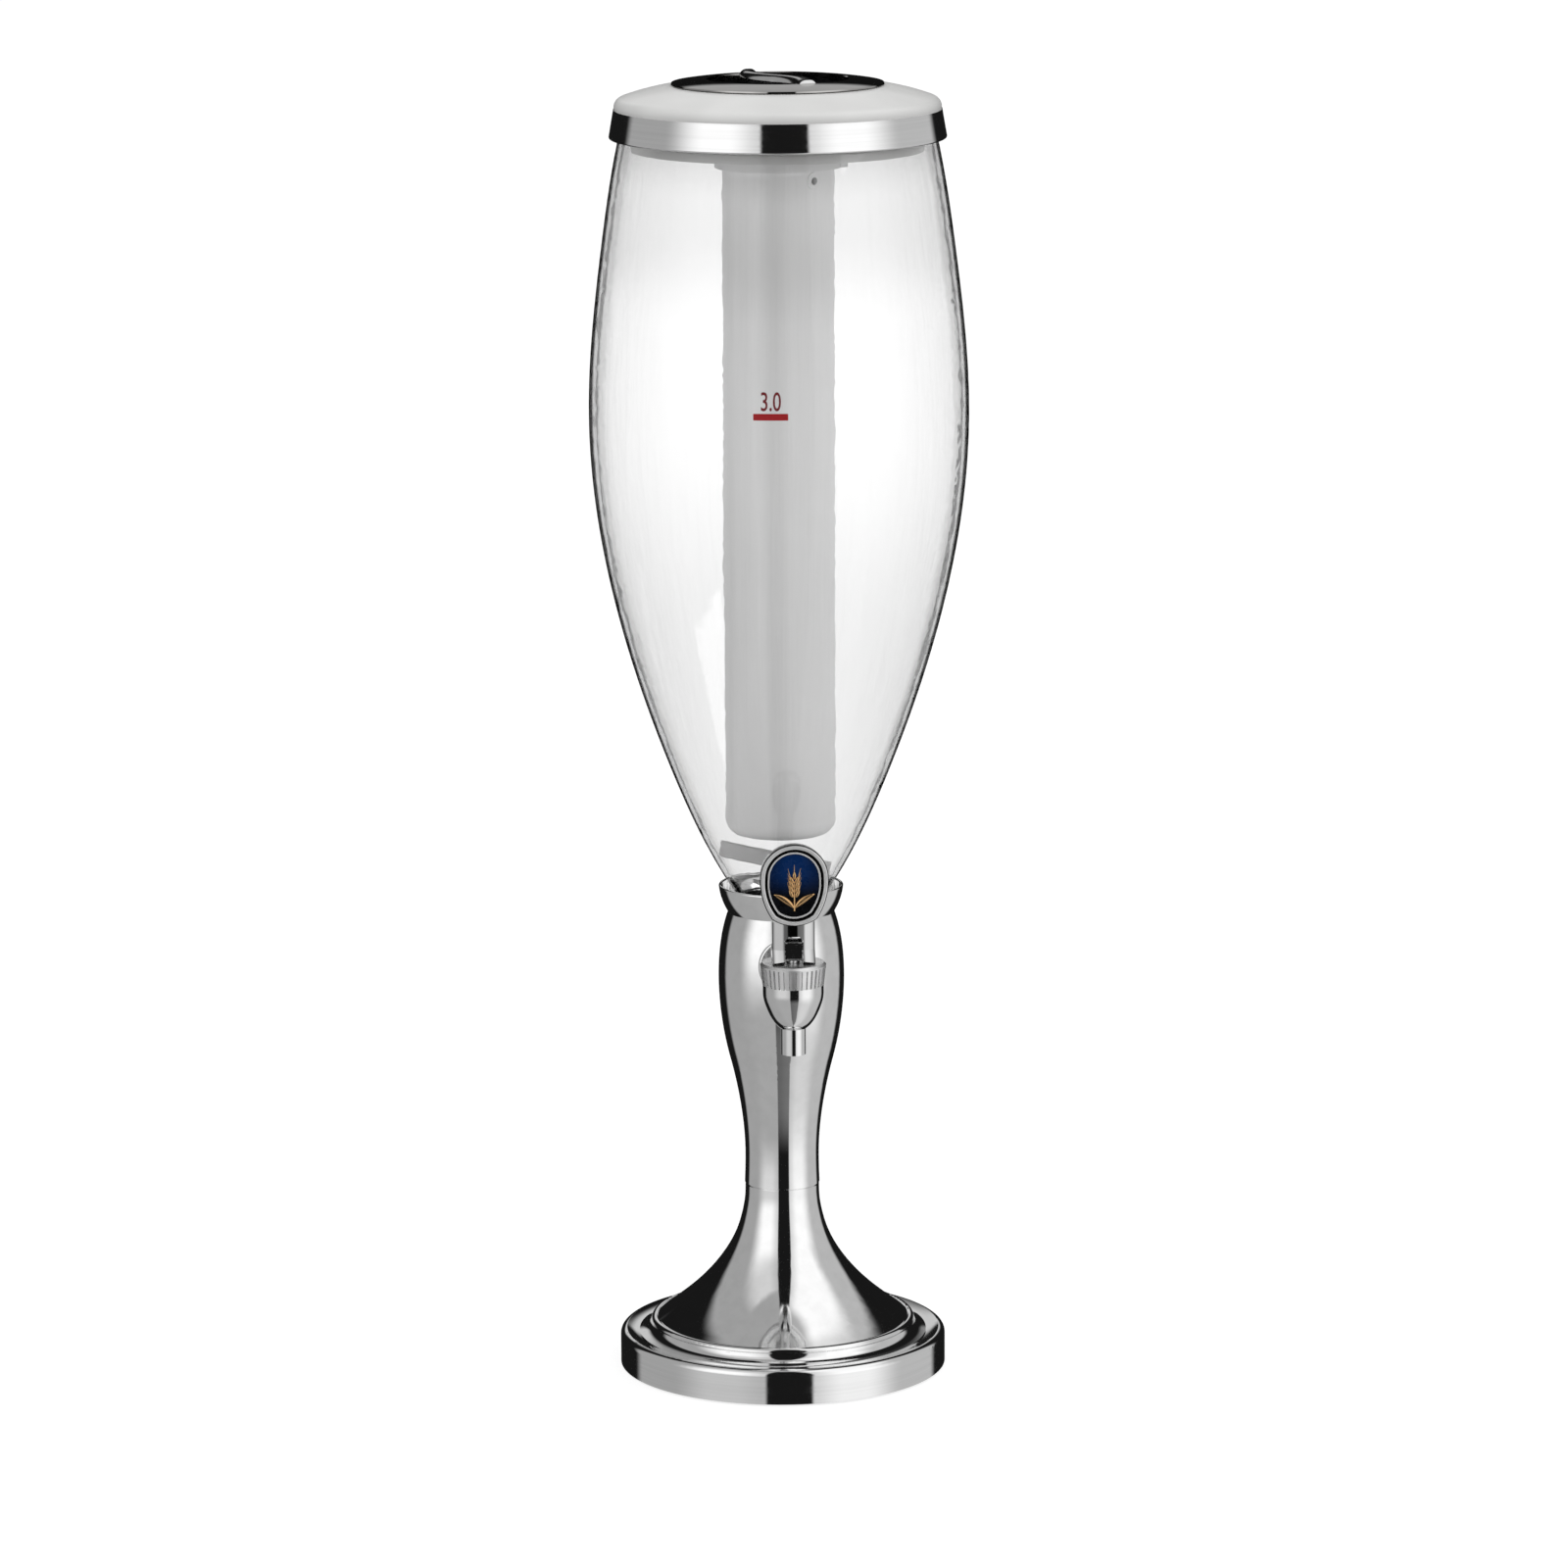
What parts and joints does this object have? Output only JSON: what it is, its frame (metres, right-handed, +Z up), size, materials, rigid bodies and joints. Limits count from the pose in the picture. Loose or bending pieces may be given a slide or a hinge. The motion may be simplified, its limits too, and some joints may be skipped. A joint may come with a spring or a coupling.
{
  "type": "beer tower dispenser",
  "caption": "Table-top beer tower: clear bulb on a chromed column and round base, lift-off lid with a hanging ice tube, and a lever tap with a medallion handle.",
  "frame": {"origin": "middle of the footprint, on the surface it stands on", "axes": "+Z up along the tower's axis; the tap faces -Y; +X to the right of someone facing the tap"},
  "size_m": [0.1526, 0.1526, 0.53],
  "materials": {
    "chrome": "bright plated",
    "chrome_smoked": "smoked plated ring",
    "steel": "plain",
    "iron": "rough cast",
    "rubber_black": "matt",
    "silicone": "translucent silicone",
    "cover_black": "fine grain",
    "clear": "clear moulded plastic",
    "frosted": "frosted moulded plastic",
    "lid_white": "satin",
    "cap_black": "gloss",
    "enamel": "blue enamel, darker below"
  },
  "bodies": {
    "stand": {"rubber_feet": "rubber_black", "base_cover": "cover_black", "base_screws": "steel", "ballast_weight": "iron", "base_ring": "chrome", "base_bell": "chrome", "tie_rod": "steel", "tie_washers": "steel", "tie_nuts": "steel", "column": "chrome", "collar_cup": "chrome", "neck_gasket": "rubber_black", "bulb": "clear", "throat_strip": "frosted", "tap_body": "chrome", "saddle_washer": "rubber_black", "shank_bush": "rubber_black", "inner_washer": "silicone", "tap_nut": "cover_black", "bonnet_nut": "chrome", "bonnet_seal": "silicone"},
    "lid": {"lid_band": "chrome", "lid_dome": "lid_white", "lid_gasket": "silicone"},
    "cap": {"cap_ring": "chrome_smoked", "cap_seal": "silicone", "cap_body": "cap_black", "grip_bar": "chrome"},
    "ice_core": {"ice_tube": "frosted"},
    "stem": {"valve_stem": "chrome", "valve_plug": "silicone"},
    "handle": {"fork_handle": "chrome", "badge_bezel": "chrome", "badge_inlay": "enamel", "handle_pin": "steel"}
  },
  "joints": [
    {"name": "lid_lift", "type": "slide", "parent": "stand", "child": "lid", "axis": [0, 0, 1], "range_m": [0, 0.3]},
    {"name": "cap_lift", "type": "slide", "parent": "lid", "child": "cap", "axis": [0, 0, 1], "range_m": [0, 0.31]},
    {"name": "tube_twist", "type": "hinge", "parent": "cap", "child": "ice_core", "pos_m": [0, 0, 0.5], "axis": [0, 0, 1], "range_deg": [0, 30]},
    {"name": "stem_lift", "type": "slide", "parent": "stand", "child": "stem", "axis": [0, 0, 1], "range_m": [0, 0.00183]},
    {"name": "handle_tilt", "type": "hinge", "parent": "stem", "child": "handle", "pos_m": [0, -0.058, 0.1879], "axis": [1, 0, 0], "range_deg": [0, 35], "stiffness_Nm_per_rad": 0.05, "springref_deg": -34.38}
  ],
  "couplings": [
    {"joint": "handle_tilt", "follows": "stem_lift", "rad_per_m": 333.33}
  ]
}
